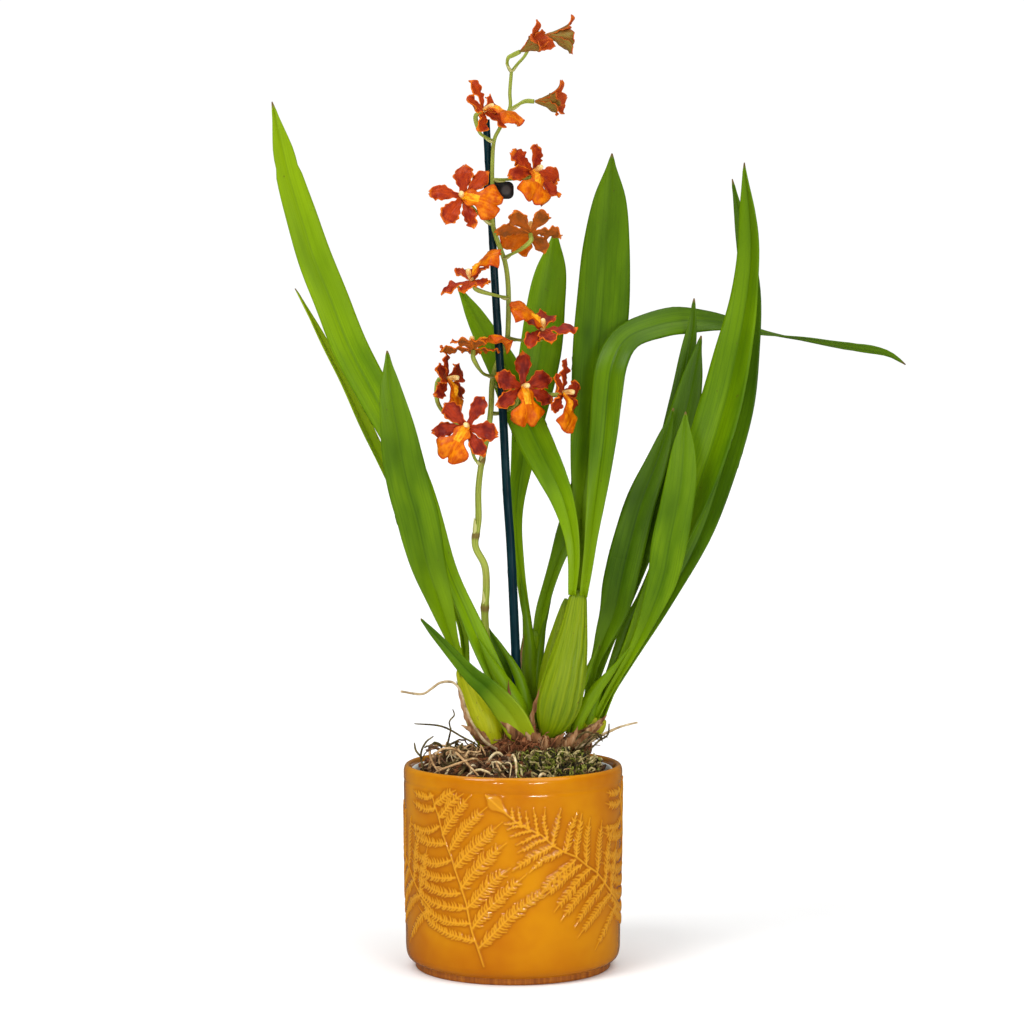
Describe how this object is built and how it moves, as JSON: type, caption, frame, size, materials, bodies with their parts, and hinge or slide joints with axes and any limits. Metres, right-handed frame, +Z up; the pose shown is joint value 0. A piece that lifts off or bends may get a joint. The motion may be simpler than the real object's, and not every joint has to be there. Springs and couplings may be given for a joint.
{
  "type": "potted oncidium orchid",
  "caption": "Oncidium orchid in bloom on one staked spike, with pseudobulbs and long leaves, in a round glazed cover pot with pressed fern fronds.",
  "frame": {"origin": "centre of the pot's flat underside, on the surface the pot stands on", "axes": "+Z up along the pot's axis, -Y the side the picture shows, +X to the right of the picture"},
  "size_m": [0.4174, 0.1423, 0.6044],
  "materials": {
    "pot_glaze": "gloss",
    "liner_plastic": "satin",
    "growing_medium": "matte",
    "moss": "matte",
    "rhizome": "matte",
    "pseudobulb": "satin",
    "leaf": "satin",
    "root": "matte",
    "stick": "satin",
    "clip": "satin",
    "stem": "satin",
    "tepal": "satin",
    "lip": "satin"
  },
  "bodies": {
    "root": {"pot": "pot_glaze", "liner_pot": "liner_plastic", "growing_medium": "growing_medium", "moss": "moss", "rhizome": "rhizome", "bulb_left": "pseudobulb", "bulb_front": "pseudobulb", "bulb_middle": "pseudobulb", "bulb_new": "pseudobulb", "bulb_right": "pseudobulb", "leaf_arching": "leaf", "leaf_back_centre": "leaf", "leaf_back_low": "leaf", "leaf_centre_folded": "leaf", "leaf_centre_tall": "leaf", "leaf_left_front": "leaf", "leaf_left_narrow": "leaf", "leaf_left_tall": "leaf", "leaf_right_back_tall": "leaf", "leaf_right_broad": "leaf", "leaf_right_dark": "leaf", "leaf_right_front": "leaf", "leaf_right_narrow": "leaf", "leaf_right_small": "leaf", "leaf_right_tall": "leaf", "sheath_back": "leaf", "sheath_front": "leaf", "aerial_root_left": "root", "aerial_root_right": "root", "support_stick": "stick", "stem_clip": "clip", "flower_spike": "stem", "bloom_01": "tepal", "bloom_02": "tepal", "bloom_03": "tepal", "bloom_04_tepals": "tepal", "bloom_04_lip": "lip", "bloom_05_tepals": "tepal", "bloom_05_lip": "lip", "bloom_06_tepals": "tepal", "bloom_06_lip": "lip", "bloom_07_tepals": "tepal", "bloom_07_lip": "lip", "bloom_08_tepals": "tepal", "bloom_08_lip": "lip", "bloom_09_tepals": "tepal", "bloom_09_lip": "lip", "bloom_10_tepals": "tepal", "bloom_10_lip": "lip", "bloom_11_tepals": "tepal", "bloom_11_lip": "lip", "bloom_12_tepals": "tepal", "bloom_12_lip": "lip", "bloom_13_tepals": "tepal", "bloom_13_lip": "lip", "bloom_14_tepals": "tepal", "bloom_14_lip": "lip"}
  },
  "joints": []
}
